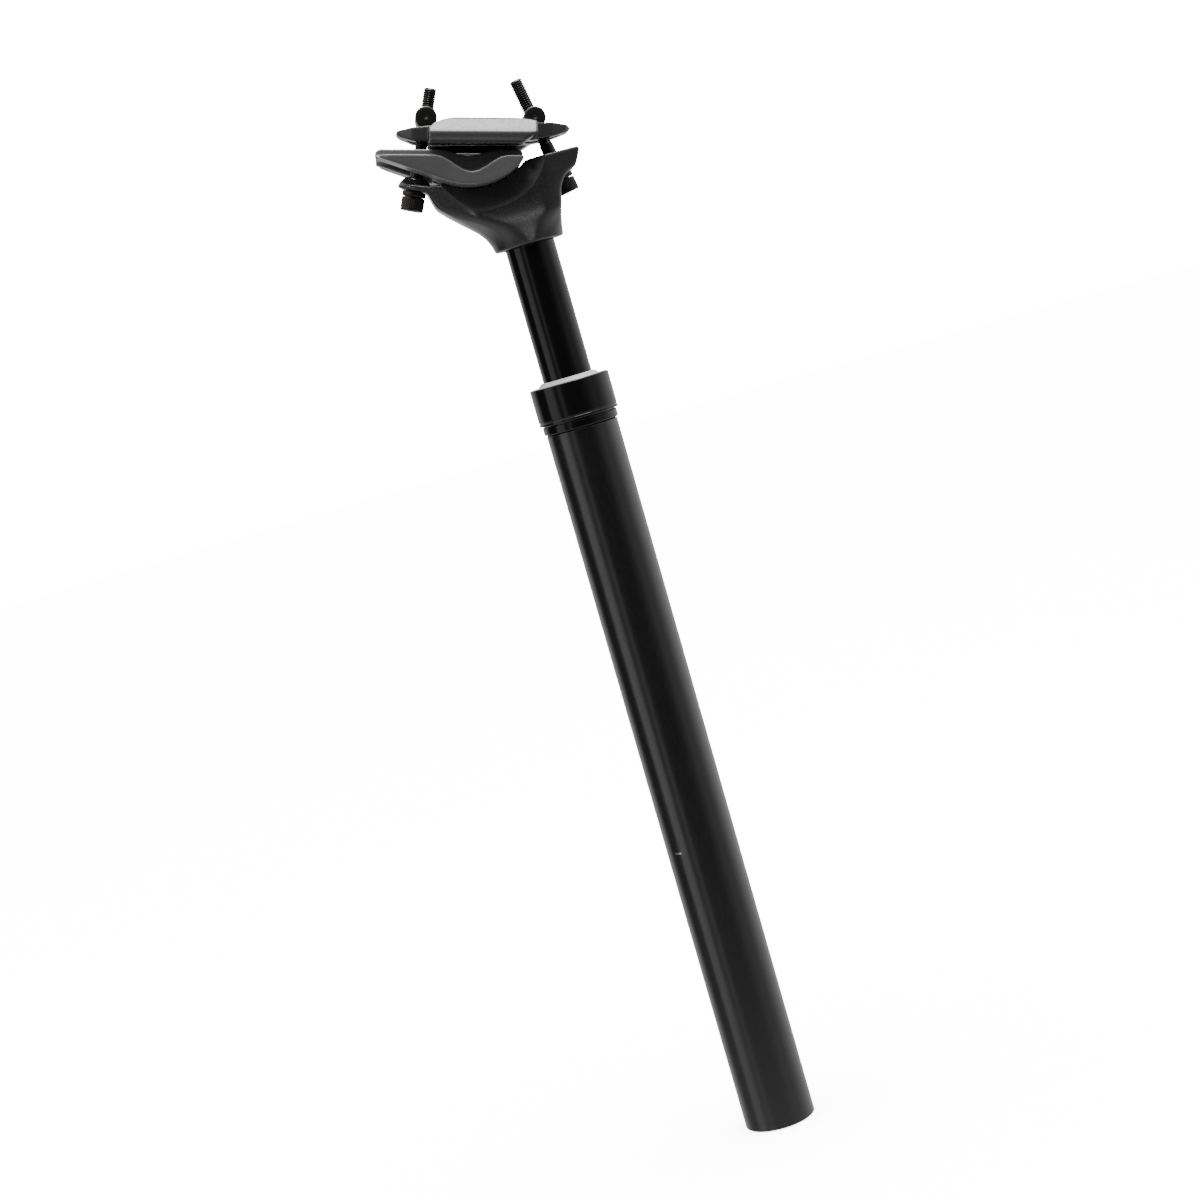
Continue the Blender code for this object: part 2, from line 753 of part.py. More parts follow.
def make_lower_cradle(frame):
    """The rocker: an arc underneath, two rail grooves on top, and a wing around the rear screw."""
    wing_angle = 250.7
    front_angle = 270 + math.degrees(math.asin(CRADLE_FRONT / ROCKER_RADIUS))
    side = [
        (CRADLE_BACK, LAND_Z - 0.6 * MM),
        *arc((0, 0), ROCKER_RADIUS, wing_angle, front_angle, 15),
        (CRADLE_FRONT, RIDGE_Z - 0.9 * MM),
        (CRADLE_FRONT - 0.9 * MM, RIDGE_Z),
        *reversed(dipped_line(RIDGE_Z, CRADLE_BACK + 1.5 * MM, 15 * MM, -11 * MM, 11 * MM, 2.2 * MM, 9)),
        (CRADLE_BACK, LAND_Z + 1.4 * MM),
    ]
    cradle = slab("lower_cradle", side, LIP_Y, "side", "forged_black", frame=frame)
    plan = millimetres([(-34.5, 18.0), (-33.2, 23.0), (-30.6, 26.6), (-27.5, 28.0), (21.0, 28.0)])
    plan += [(along, -across) for along, across in reversed(plan)]
    plan_tool = slab("cradle_plan", plan, 60 * MM, "plan", frame=frame)
    combine(cradle, "INTERSECT", plan_tool)
    above_land = dipped_line(LAND_Z, -36 * MM, 24 * MM, -12 * MM, 14 * MM, 5.8 * MM)
    above_land += [(24 * MM, 0), (-36 * MM, 0)]
    for side_name, sign in (("left", 1), ("right", -1)):
        middle = (0, sign * (RIDGE_Y + 10 * MM), 0)
        step = slab("cradle_step_" + side_name, above_land, 10 * MM, "side", frame=frame, location=middle)
        groove = rail_groove("cradle_groove_" + side_name, sign, frame)
        combine(cradle, "DIFFERENCE", step, groove)
    belly = block(
        "cradle_belly",
        (WING_START - 30 * MM, -WING_GAP, WING_PLATE_Z - 30 * MM),
        (WING_START, WING_GAP, WING_PLATE_Z),
        frame=frame,
    )
    combine(cradle, "DIFFERENCE", belly)
    slot = slab(
        "cradle_slot",
        slot_outline(-24.2 * MM, -10.2 * MM, SCREW_BORE),
        40 * MM,
        "plan",
        frame=frame,
    )
    combine(cradle, "DIFFERENCE", slot)


def rail_groove(name, sign, frame):
    """A cutter the size of a saddle rail, lying along the clamp."""
    return rod(
        name,
        GROOVE_RADIUS,
        -50 * MM,
        50 * MM,
        sides=24,
        frame=frame,
        location=(0, sign * RAIL_Y, RAIL_Z),
        lean=math.pi / 2,
    )


def cover_outline():
    """Cross-section of the upper clamp through both rail covers."""
    half_groove = math.degrees(math.asin((COVER_LIP_Z - RAIL_Z) / GROOVE_RADIUS))
    half = [
        (0, BRIDGE_BOTTOM),
        (13.0 * MM, BRIDGE_BOTTOM),
        (16.2 * MM, COVER_LIP_Z),
        *arc((RAIL_Y, RAIL_Z), GROOVE_RADIUS, 180 - half_groove, half_groove, 9),
        (LIP_Y, COVER_LIP_Z),
        (LIP_Y, COVER_LIP_Z + 1.2 * MM),
        *millimetres([(27.2, -9.6), (26.9, -7.2), (26.1, -6.2), (21.6, -2.0)]),
        (20.4 * MM, COVER_TOP),
        (17.2 * MM, COVER_TOP),
        (13.4 * MM, BRIDGE_TOP),
        (0, BRIDGE_TOP),
    ]
    return half + [(-a, b) for a, b in reversed(half) if a > 0]


def make_upper_clamp(frame):
    """Two rail covers joined by a bridge, with an ear at each end under its barrel nut."""
    ears = millimetres(
        [
            (-26.1, -6.4),
            (-24.5, -7.4),
            (-19.3, -9.1),
            (-12.0, -9.3),
            (6.0, -8.2),
            (23.0, -8.6),
            (29.5, -7.4),
            (36.8, -4.9),
            (37.8, -3.7),
            (36.4, -2.5),
            (31.0, -2.0),
            (17.0, -2.4),
            (15.0, -4.2),
            (-6.0, -4.2),
            (-8.0, -3.2),
            (-18.9, -4.0),
            (-25.4, -5.1),
        ]
    )
    clamp = slab("upper_clamp", ears, 20 * MM, "side", "forged_black", frame=frame)
    plan = millimetres(
        [
            (-27.0, 3.5),
            (-24.5, 7.5),
            (-20.0, 10.4),
            (-12.0, 12.0),
            (23.0, 12.0),
            (31.0, 10.0),
            (36.0, 7.2),
            (38.5, 3.5),
        ]
    )
    plan += [(along, -across) for along, across in reversed(plan)]
    combine(clamp, "INTERSECT", slab("ear_plan", plan, 60 * MM, "plan", frame=frame))
    covers = slab(
        "rail_covers",
        cover_outline(),
        (COVER_FRONT - COVER_BACK) / 2,
        "front",
        frame=frame,
        location=((COVER_FRONT + COVER_BACK) / 2, 0, 0),
    )
    profile = millimetres(
        [
            (-15.0, -13.0),
            (16.0, -13.0),
            (21.0, -9.6),
            (26.0, -6.2),
            (26.0, -2.9),
            (21.9, -2.0),
            (12.7, -1.0),
            (-4.1, -1.2),
            (-8.7, -2.2),
            (-12.3, -3.7),
            (-15.0, -6.6),
        ]
    )
    combine(covers, "INTERSECT", slab("cover_profile", profile, 40 * MM, "side", frame=frame))
    combine(clamp, "UNION", covers)
    for which, (nut, _, _) in SCREWS.items():
        pocket = rod(
            which + "_nut_pocket",
            NUT_RADIUS + GAP,
            -NUT_HALF_LENGTH - 1.2 * MM,
            NUT_HALF_LENGTH + 1.2 * MM,
            frame=frame,
            location=(nut[0], 0, nut[1]),
            roll=-math.pi / 2,
        )
        combine(clamp, "DIFFERENCE", pocket)
    for name, back, front in (("rear_ear_slot", -21.6, -11.0), ("front_ear_slot", 20.6, 33.8)):
        slot = slab(name, slot_outline(back * MM, front * MM, SCREW_BORE), 40 * MM, "plan", frame=frame)
        combine(clamp, "DIFFERENCE", slot)


def make_screw(which):
    """A clamp screw, head down on its washer, and the barrel nut at its upper end."""
    seat, lean = screw_seat(which)
    washer_top = -GAP
    washer_bottom = washer_top - WASHER_HEIGHT
    ring(
        which + "_washer",
        WASHER_RADIUS,
        SCREW_RADIUS + GAP,
        washer_bottom,
        washer_top,
        "blackened_steel",
        location=seat,
        lean=lean,
    )
    head_top = washer_bottom - GAP
    head_bottom = head_top - SCREW_HEAD_HEIGHT
    tip = head_top + SCREW_LENGTH
    chamfer = 0.4 * MM
    bolt = turned(
        which + "_bolt",
        [
            (0, tip),
            (SCREW_RADIUS - chamfer, tip),
            (SCREW_RADIUS, tip - chamfer),
            (SCREW_RADIUS, head_top),
            (SCREW_HEAD_RADIUS, head_top),
            (SCREW_HEAD_RADIUS, head_bottom + chamfer),
            (SCREW_HEAD_RADIUS - chamfer, head_bottom),
            (0, head_bottom),
        ],
        "blackened_steel",
        ring=False,
        location=seat,
        lean=lean,
    )
    corner = SCREW_HEX / math.sqrt(3)
    key_hole = rod(
        which + "_hex",
        corner,
        head_bottom - MM,
        head_bottom + SCREW_HEX_DEPTH,
        sides=6,
        location=seat,
        lean=lean,
    )
    combine(bolt, "DIFFERENCE", key_hole)
    centre = clamp_point(*SCREWS[which][0])
    nut = turned(
        which + "_nut",
        [
            (0, NUT_HALF_LENGTH),
            (NUT_RADIUS - NUT_CHAMFER, NUT_HALF_LENGTH),
            (NUT_RADIUS, NUT_HALF_LENGTH - NUT_CHAMFER),
            (NUT_RADIUS, NUT_CHAMFER - NUT_HALF_LENGTH),
            (NUT_RADIUS - NUT_CHAMFER, -NUT_HALF_LENGTH),
            (0, -NUT_HALF_LENGTH),
        ],
        "blackened_steel",
        ring=False,
        location=centre,
        lean=lean,
        roll=-math.pi / 2,
    )
    tapping = rod(which + "_tapping", SCREW_RADIUS + GAP, -10 * MM, 10 * MM, location=centre, lean=lean)
    combine(nut, "DIFFERENCE", tapping)


def make_clamp_frame():
    """The empty at the centre of the rocking arc, tilted to the saddle's level."""
    frame = bpy.data.objects.new("clamp_pivot", None)
    frame.location = (ROCKER_X, 0, ROCKER_Z)
    frame.rotation_euler = (0, CLAMP_TILT, 0)
    COLLECTIONS["suspension_seatpost"].objects.link(frame)
    return frame


def main():
    clear_scene()
    make_tube()
    make_collar()
    make_bushes()
    foot_bottom = make_shaft()
    plug_top = make_plug()
    spacer_top = make_lower_stack(plug_top)
    make_upper_stack(spacer_top, foot_bottom)
    make_head()
    clamp_frame = make_clamp_frame()
    make_lower_cradle(clamp_frame)
    make_upper_clamp(clamp_frame)
    for which in SCREWS:
        make_screw(which)


COLLECTIONS = {}
main()
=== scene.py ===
import json
import math

import bmesh
import bpy
from mathutils import Matrix, Vector


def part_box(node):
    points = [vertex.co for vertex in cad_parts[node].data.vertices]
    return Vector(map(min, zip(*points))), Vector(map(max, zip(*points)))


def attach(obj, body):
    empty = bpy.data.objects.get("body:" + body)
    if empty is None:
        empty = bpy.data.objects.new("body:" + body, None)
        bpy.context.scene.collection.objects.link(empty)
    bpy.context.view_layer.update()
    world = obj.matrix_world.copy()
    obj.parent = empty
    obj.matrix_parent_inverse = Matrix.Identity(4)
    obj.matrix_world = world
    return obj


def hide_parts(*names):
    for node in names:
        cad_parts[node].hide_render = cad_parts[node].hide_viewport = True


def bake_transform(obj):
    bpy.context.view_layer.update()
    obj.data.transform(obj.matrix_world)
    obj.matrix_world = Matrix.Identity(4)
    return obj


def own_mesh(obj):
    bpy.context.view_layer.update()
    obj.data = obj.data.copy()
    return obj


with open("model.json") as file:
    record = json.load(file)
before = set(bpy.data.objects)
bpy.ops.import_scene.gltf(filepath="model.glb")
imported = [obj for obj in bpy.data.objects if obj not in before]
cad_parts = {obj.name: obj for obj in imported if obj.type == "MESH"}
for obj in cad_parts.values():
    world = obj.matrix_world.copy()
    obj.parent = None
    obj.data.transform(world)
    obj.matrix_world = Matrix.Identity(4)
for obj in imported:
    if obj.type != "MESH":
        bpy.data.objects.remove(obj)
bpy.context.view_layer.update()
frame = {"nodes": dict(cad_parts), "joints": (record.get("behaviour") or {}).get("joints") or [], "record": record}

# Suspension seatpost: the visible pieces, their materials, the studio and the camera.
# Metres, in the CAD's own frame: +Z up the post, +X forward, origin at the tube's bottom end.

MM = 0.001

# Sides of turned pieces
FINE_STEPS = 144
MEDIUM_STEPS = 96
SMALL_STEPS = 72
THREAD_STEPS = 40
KNURL_STEPS = 216

# Tube and collar
TUBE_BORE = 11.5 * MM
TUBE_THREAD_RADIUS = 12.9 * MM
TUBE_SHOULDER = 275.1 * MM
KEYWAY_HALF_WIDTH = 2.3 * MM
KEYWAY_NEAR = 9.0 * MM
KEYWAY_FAR = 12.5 * MM
KEYWAY_TOP = 236 * MM
COLLAR_BORE = 13.2 * MM
COLLAR_GROOVE_DEPTH = 0.25 * MM
SEAL_SEAT_RADIUS = 12.5 * MM
COLLAR_LIP_RADIUS = 9.9 * MM
WIPER_RADIUS = 12.1 * MM
WIPER_BORE = 9.6 * MM
SHAFT_BORE = 7.3 * MM
PLUG_SOCKET = 10 * MM
PLUG_SOCKET_DEPTH = 8 * MM

# Screws and nuts. Heights are along a screw's axis, from its seat on the head.
SCREWS = ("rear", "front")
SCREW_LENGTH = 40 * MM
SCREW_PITCH = 0.8 * MM
THREAD_LENGTH = 26 * MM
THREAD_DEPTH = 0.42 * MM
SCREW_RADIUS = 2.5 * MM
SCREW_HEAD_HEIGHT = 5.0 * MM
SCREW_HEAD_RADIUS = 4.25 * MM
SCREW_HEX = 4.0 * MM
SCREW_HEX_DEPTH = 2.6 * MM
WASHER_TOP = -0.3 * MM
WASHER_BOTTOM = -2.0 * MM
WASHER_RADIUS = 4.35 * MM
WASHER_BORE = 2.8 * MM
SCREW_HEAD_TOP = -2.3 * MM
NUT_RADIUS = 4.0 * MM
NUT_HALF_LENGTH = 9.0 * MM
TAPPING_CLEARANCE = 0.3 * MM
KNURLS = 36
KNURL_DEPTH = 0.13 * MM
KNURL_MARGIN = 0.9 * MM

# The mark on the tube
TICK_HEIGHT = 112 * MM
TICK_WIDTH = 0.7 * MM
TICK_LENGTH = 3.2 * MM
TICK_ANGLE = math.atan2(-0.669, -0.743)
TICK_RISE = 0.03 * MM
TICK_ROOT = 0.05 * MM

# Spring
WIRE_RADIUS = 1.5 * MM
COIL_RADIUS = 8.9 * MM
COIL_TURNS = 16.5
COIL_CLOSED_TURNS = 1.25
COIL_CLOSED_GAP = 0.3 * MM

# Elastomer block under the spring
ELASTOMER_BORE = 2.5 * MM
ELASTOMER_LOBES = 4
ELASTOMER_WAIST = 0.9 * MM

# Forgings: the size of the cells that each is remeshed with, its rounds of smoothing, and where on the
# head that smoothing starts and ends. FLANK_OUTLINE is turned about the seat's axis: radius, then distance
# from the middle.
HEAD_VOXEL = 0.36 * MM
CLAMP_VOXEL = 0.33 * MM
HEAD_ROUNDS = 18
NECK_ROUNDS = 220
CRADLE_ROUNDS = 14
COVER_ROUNDS = 12
NECK_RIM = (346 * MM, 348 * MM)
NECK_TOP = (371 * MM, 361 * MM)
NECK_SKIN = (10.0 * MM, 10.6 * MM)
DOME_EDGE = (7.5 * MM, 10.5 * MM)
DOME_SHARE = 0.2
FLANK_OUTLINE = [
    (0, 10.2 * MM),
    (26.2 * MM, 10.2 * MM),
    (35.5 * MM, 14.6 * MM),
    (35.5 * MM, 20 * MM),
    (0, 20 * MM),
]
POCKET_CLEARANCE = 0.75 * MM
POCKET_DEPTH = 16 * MM

# The camera, as measured against the tube: the tube's lean in the picture, towards the lens, and
# its turn about itself, and where a point on its axis lies in front of the lens.
LENS = 75.0
SENSOR = 36.0
PICTURE_LEAN = Vector((-0.2773, 0.9608))
LEAN_TO_LENS = math.radians(6.3)
TURN = math.radians(3.0)
AIM_HEIGHT = 0.2109
AIM_IN_CAMERA = Vector((0.01096, 0.0031, -0.935))


# Mesh helpers


def show(name, mesh):
    obj = bpy.data.objects.new(name, mesh)
    bpy.context.scene.collection.objects.link(obj)
    return obj


def shade(mesh, angle=40.0):
    mesh.shade_smooth()
    mesh.set_sharp_from_angle(angle=math.radians(angle))
    return mesh


def applied(obj):
    """Replaces the object's mesh with its evaluated one, and drops its modifiers."""
    graph = bpy.context.evaluated_depsgraph_get()
    graph.update()
    mesh = bpy.data.meshes.new_from_object(obj.evaluated_get(graph), depsgraph=graph)
    obj.modifiers.clear()
    obj.data = mesh
    return obj


def rounded(points, radius, closed=True, segments=4):
    """The outline with every corner rounded by a short curve."""
    count = len(points)
    result = []
    for i, here in enumerate(points):
        if not closed and i in (0, count - 1):
            result.append(here)
            continue
        corner = Vector(here)
        before = Vector(points[i - 1])
        after = Vector(points[(i + 1) % count])
        reach = min(radius, (before - corner).length * 0.45, (after - corner).length * 0.45)
        start = corner + (before - corner).normalized() * reach
        end = corner + (after - corner).normalized() * reach
        for step in range(segments + 1):
            t = step / segments
            point = start * (1 - t) ** 2 + corner * 2 * t * (1 - t) + end * t**2
            result.append((point.x, point.y))
    return result


def revolved(name, profile, steps=FINE_STEPS, matrix=None, closed=True, wave=None):
    """Turns (radius, height) points about Z. wave(angle, radius, height) is added to the radius."""
    mesh = bpy.data.meshes.new(name)
    work = bmesh.new()
    rings = []
    for radius, height in profile:
        ring = []
        for step in range(steps):
            angle = 2 * math.pi * step / steps
            r = radius + (wave(angle, radius, height) if wave else 0.0)
            ring.append(work.verts.new((r * math.cos(angle), r * math.sin(angle), height)))
        rings.append(ring)
    pairs = list(zip(rings, rings[1:]))
    if closed:
        pairs.append((rings[-1], rings[0]))
    for upper, lower in pairs:
        for i in range(steps):
            j = (i + 1) % steps
            work.faces.new((upper[i], upper[j], lower[j], lower[i]))
    bmesh.ops.remove_doubles(work, verts=work.verts, dist=1e-7)
    bmesh.ops.dissolve_degenerate(work, edges=work.edges, dist=1e-8)
    bmesh.ops.recalc_face_normals(work, faces=work.faces)
    if matrix:
        bmesh.ops.transform(work, matrix=matrix, verts=work.verts)
    work.to_mesh(mesh)
    work.free()
    return show(name, shade(mesh))


def prism(name, radius, low, high, sides, matrix=None):
    """A cutter: an upright prism or, with many sides, a cylinder."""
    work = bmesh.new()
    middle = Matrix.Translation((0, 0, (low + high) / 2))
    bmesh.ops.create_cone(
        work,
        cap_ends=True,
        segments=sides,
        radius1=radius,
        radius2=radius,
        depth=high - low,
        matrix=middle,
    )
    if matrix:
        bmesh.ops.transform(work, matrix=matrix, verts=work.verts)
    mesh = bpy.data.meshes.new(name)
    work.to_mesh(mesh)
    work.free()
    return show(name, mesh)


def box_cutter(name, low, high):
    work = bmesh.new()
    size = Vector(high) - Vector(low)
    middle = (Vector(high) + Vector(low)) / 2
    place = Matrix.Translation(middle) @ Matrix.Diagonal((*size, 1))
    bmesh.ops.create_cube(work, size=1.0, matrix=place)
    mesh = bpy.data.meshes.new(name)
    work.to_mesh(mesh)
    work.free()
    return show(name, mesh)


def cut(obj, *tools):
    """Takes the tools out of the object, and removes them."""
    for tool in tools:
        step = obj.modifiers.new("Cut", "BOOLEAN")
        step.operation = "DIFFERENCE"
        step.solver = "EXACT"
        step.object = tool
    applied(obj)
    for tool in tools:
        bpy.data.objects.remove(tool, do_unlink=True)
    shade(obj.data)
    return obj


def between(value, start, end):
    """0 at start, 1 at end, and an even slope between."""
    return min(max((value - start) / (end - start), 0.0), 1.0)


def softened(obj, rounds, share):
    """Smooths the object; share(point) is how much of the smoothing each point takes."""
    group = obj.vertex_groups.new(name="softened")
    for vertex in obj.data.vertices:
        weight = share(vertex.co)
        if weight > 0:
            group.add([vertex.index], weight, "REPLACE")
    step = obj.modifiers.new("Soften", "SMOOTH")
    step.factor = 0.5
    step.iterations = rounds
    step.vertex_group = group.name
    applied(obj)


def forged(name, node, voxel, rounds, share=lambda point: 1.0):
    """A softened copy of a CAD node: its edges run into each other as on a painted forging."""
    mesh = frame["nodes"][node].data.copy()
    mesh.materials.clear()
    obj = show(name, mesh)
    remesh = obj.modifiers.new("Remesh", "REMESH")
    remesh.mode = "VOXEL"
    remesh.voxel_size = voxel
    applied(obj)
    softened(obj, rounds, share)
    obj.data.shade_smooth()
    return obj


# Materials


# How convex an edge is, on Blender's pointiness scale, where its pale edge starts and where it reaches full
# strength. The pale edge is partly paint wear and partly a painted highlight where the edge catches the light.
EDGE_WEAR_AND_HIGHLIGHT = (0.57, 0.70)


def procedural(
    name,
    colour,
    roughness,
    metallic=0.0,
    grain=(900, 900, 900),
    bump=0.02,
    bump_depth=0.02 * MM,
    spread=0.25,
    rough_spread=0.06,
    patch=60.0,
    level=0.5,
    edge_wear_and_highlight=0.0,
):
    """A finish with fine grain in its surface and gloss, slow changes in its colour, and pale convex edges that
    are partly paint wear and partly a painted highlight where edges catch the light.
    """
    made = bpy.data.materials.new(name)
    made.use_nodes = True
    nodes = made.node_tree.nodes
    links = made.node_tree.links
    shader = nodes["Principled BSDF"]
    shader.inputs["Metallic"].default_value = metallic
    shader.inputs["Specular IOR Level"].default_value = level
    place = nodes.new("ShaderNodeTexCoord")
    slow = nodes.new("ShaderNodeTexNoise")
    slow.inputs["Scale"].default_value = patch
    slow.inputs["Detail"].default_value = 4.0
    links.new(place.outputs["Object"], slow.inputs["Vector"])
    stretch = nodes.new("ShaderNodeMapping")
    stretch.inputs["Scale"].default_value = grain
    links.new(place.outputs["Object"], stretch.inputs["Vector"])
    fine = nodes.new("ShaderNodeTexNoise")
    fine.inputs["Scale"].default_value = 1.0
    fine.inputs["Detail"].default_value = 3.0
    links.new(stretch.outputs["Vector"], fine.inputs["Vector"])
    blend = nodes.new("ShaderNodeMix")
    blend.data_type = "RGBA"
    blend.inputs[6].default_value = (*[c * (1 - spread) for c in colour], 1)
    blend.inputs[7].default_value = (*[min(c * (1 + spread), 1) for c in colour], 1)
    links.new(slow.outputs["Fac"], blend.inputs[0])
    tint = blend.outputs[2]
    # Pale convex edges found by pointiness: partly paint wear, partly a painted highlight where edges catch the
    # light.
    if edge_wear_and_highlight:
        edge = nodes.new("ShaderNodeNewGeometry")
        ramp = nodes.new("ShaderNodeMapRange")
        ramp.inputs["From Min"].default_value = EDGE_WEAR_AND_HIGHLIGHT[0]
        ramp.inputs["From Max"].default_value = EDGE_WEAR_AND_HIGHLIGHT[1]
        ramp.inputs["To Max"].default_value = edge_wear_and_highlight
        links.new(edge.outputs["Pointiness"], ramp.inputs["Value"])
        worn_and_lit_edge = nodes.new("ShaderNodeMix")
        worn_and_lit_edge.data_type = "RGBA"
        worn_and_lit_edge.inputs[7].default_value = (*[min(c * 3 + 0.05, 1) for c in colour], 1)
        links.new(ramp.outputs["Result"], worn_and_lit_edge.inputs[0])
        links.new(tint, worn_and_lit_edge.inputs[6])
        tint = worn_and_lit_edge.outputs[2]
    links.new(tint, shader.inputs["Base Color"])
    gloss = nodes.new("ShaderNodeMapRange")
    gloss.inputs["From Min"].default_value = 0.3
    gloss.inputs["From Max"].default_value = 0.7
    gloss.inputs["To Min"].default_value = max(roughness - rough_spread, 0.02)
    gloss.inputs["To Max"].default_value = roughness + rough_spread
    links.new(fine.outputs["Fac"], gloss.inputs["Value"])
    links.new(gloss.outputs["Result"], shader.inputs["Roughness"])
    relief = nodes.new("ShaderNodeBump")
    relief.inputs["Strength"].default_value = bump
    relief.inputs["Distance"].default_value = bump_depth
    links.new(fine.outputs["Fac"], relief.inputs["Height"])
    links.new(relief.outputs["Normal"], shader.inputs["Normal"])
    return made


# The edge strength in these finishes sets their pale convex edges: partly paint wear, partly a painted highlight
# where edges catch the light.
FINISH_VALUES = {
    "anodised_tube": dict(
        colour=(0.0068, 0.0068, 0.0072),
        roughness=0.21,
        grain=(2600, 2600, 260),
        bump=0.30,
        level=0.88,
        patch=25.0,
    ),
    "polished_black": dict(
        colour=(0.004, 0.004, 0.0045),
        roughness=0.10,
        grain=(700, 700, 120),
        bump=0.06,
        rough_spread=0.03,
        level=0.45,
    ),
    "forged_black": dict(
        colour=(0.016, 0.016, 0.017),
        roughness=0.24,
        grain=(850, 850, 850),
        bump=0.15,
        bump_depth=0.05 * MM,
        edge_wear_and_highlight=0.10,
    ),
    "blackened_steel": dict(
        colour=(0.050, 0.048, 0.046),
        roughness=0.30,
        metallic=0.85,
        grain=(1500, 1500, 1500),
        bump=0.25,
        edge_wear_and_highlight=0.15,
    ),
    "pale_nylon": dict(
        colour=(0.60, 0.60, 0.59),
        roughness=0.42,
        grain=(1200, 1200, 1200),
        bump=0.15,
        spread=0.05,
    ),
    "black_nylon": dict(
        colour=(0.015, 0.015, 0.015),
        roughness=0.50,
        grain=(1600, 1600, 1600),
        bump=0.3,
    ),
    "spring_steel": dict(
        colour=(0.10, 0.10, 0.11),
        roughness=0.30,
        metallic=1.0,
        bump=0.25,
        edge_wear_and_highlight=0.1,
    ),
    "bush_bronze": dict(
        colour=(0.45, 0.29, 0.12),
        roughness=0.36,
        metallic=1.0,
        grain=(300, 300, 3000),
        bump=0.3,
        spread=0.15,
    ),
    "elastomer_red": dict(
        colour=(0.42, 0.05, 0.03),
        roughness=0.60,
        grain=(1400, 1400, 1400),
        bump=0.4,
        spread=0.12,
    ),
    "rubber_black": dict(
        colour=(0.012, 0.012, 0.012),
        roughness=0.72,
        grain=(1500, 1500, 1500),
        bump=0.4,
    ),
    "turned_alloy": dict(
        colour=(0.60, 0.60, 0.61),
        roughness=0.26,
        metallic=1.0,
        grain=(250, 250, 4200),
        bump=0.35,
        spread=0.08,
    ),
    "cradle_black": dict(
        colour=(0.085, 0.085, 0.087),
        roughness=0.34,
        grain=(850, 850, 850),
        bump=0.30,
        bump_depth=0.05 * MM,
        edge_wear_and_highlight=0.20,
    ),
    "cover_black": dict(
        colour=(0.030, 0.030, 0.031),
        roughness=0.26,
        grain=(850, 850, 850),
        bump=0.30,
        bump_depth=0.05 * MM,
        edge_wear_and_highlight=0.20,
    ),
}
FINISHES = {name: procedural(name, **values) for name, values in FINISH_VALUES.items()}


def dress(obj, slot, body, *nodes, finish=None):
    """Gives a new piece its finish, the body it rides on and the CAD nodes it stands for."""
    obj.data.materials.clear()
    obj.data.materials.append(finish or FINISHES[slot])
    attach(obj, body)
    if nodes:
        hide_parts(*nodes)
    return obj


# Tube, collar and shaft


def span(node):
    """Lowest and highest point of a CAD node, and its largest radius about the post's axis."""
    low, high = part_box(node)
    return low[2], high[2], high[0]


def make_tube():
    low, high, radius = span("outer_tube")
    outline = [
        (TUBE_THREAD_RADIUS, high),
        (TUBE_THREAD_RADIUS, TUBE_SHOULDER),
        (radius, TUBE_SHOULDER),
        (radius, low),
        (TUBE_BORE, low),
        (TUBE_BORE, high),
    ]
    tube = revolved("tube_body", rounded(outline, 0.6 * MM))
    keyways = []
    for side in (-1, 1):
        near, far = sorted((side * KEYWAY_NEAR, side * KEYWAY_FAR))
        bottom = (-KEYWAY_HALF_WIDTH, near, low - MM)
        top = (KEYWAY_HALF_WIDTH, far, KEYWAY_TOP)
        keyways.append(box_cutter("keyway", bottom, top))
    dress(cut(tube, *keyways), "anodised_tube", "outer_tube", "outer_tube")
    make_tick(radius)


def make_tick(radius):
    """The short bright line that marks how far the post must go into the frame's seat tube."""
    low = TICK_HEIGHT - TICK_WIDTH / 2
    high = TICK_HEIGHT + TICK_WIDTH / 2
    inside = radius - TICK_ROOT
    outside = radius + TICK_RISE
    mesh = bpy.data.meshes.new("insertion_tick")
    work = bmesh.new()
    sections = []
    steps = 12
    for i in range(steps + 1):
        angle = TICK_ANGLE + TICK_LENGTH / radius * (i / steps - 0.5)
        corners = ((inside, low), (outside, low), (outside, high), (inside, high))
        section = [(r * math.cos(angle), r * math.sin(angle), z) for r, z in corners]
        sections.append([work.verts.new(point) for point in section])
    for here, there in zip(sections, sections[1:]):
        for i in range(4):
            j = (i + 1) % 4
            work.faces.new((here[i], here[j], there[j], there[i]))
    work.faces.new(sections[0])
    work.faces.new(list(reversed(sections[-1])))
    bmesh.ops.recalc_face_normals(work, faces=work.faces)
    work.to_mesh(mesh)
    work.free()
    dress(show("insertion_tick", shade(mesh)), "turned_alloy", "outer_tube")


def make_lock_ring():
    low, high, radius = span("lock_ring")
    outline = [(radius, high), (radius, low), (COLLAR_BORE, low), (COLLAR_BORE, high)]
    ring = revolved("collar_lock_ring", rounded(outline, 0.5 * MM))
    dress(ring, "polished_black", "outer_tube", "lock_ring")


def make_collar():
    """The glossy collar: a fine groove near its lower edge, a lip inside it, and a seat for the wiper."""
    low, high, radius = span("collar_nut")
    groove = radius - COLLAR_GROOVE_DEPTH
    lip_low = low + 7.8 * MM
    lip_high = low + 10.4 * MM
    outline = [
        (radius, high),
        (radius, low + 1.7 * MM),
        (groove, low + 1.45 * MM),
        (groove, low + 1.25 * MM),
        (radius, low + 1.0 * MM),
        (radius, low),
        (COLLAR_BORE, low),
        (COLLAR_BORE, lip_low),
        (COLLAR_LIP_RADIUS, lip_low),
        (COLLAR_LIP_RADIUS, lip_high),
        (SEAL_SEAT_RADIUS, lip_high),
        (SEAL_SEAT_RADIUS, high),
    ]
    collar = revolved("collar", rounded(outline, 0.55 * MM))
    dress(collar, "polished_black", "outer_tube", "collar_nut")


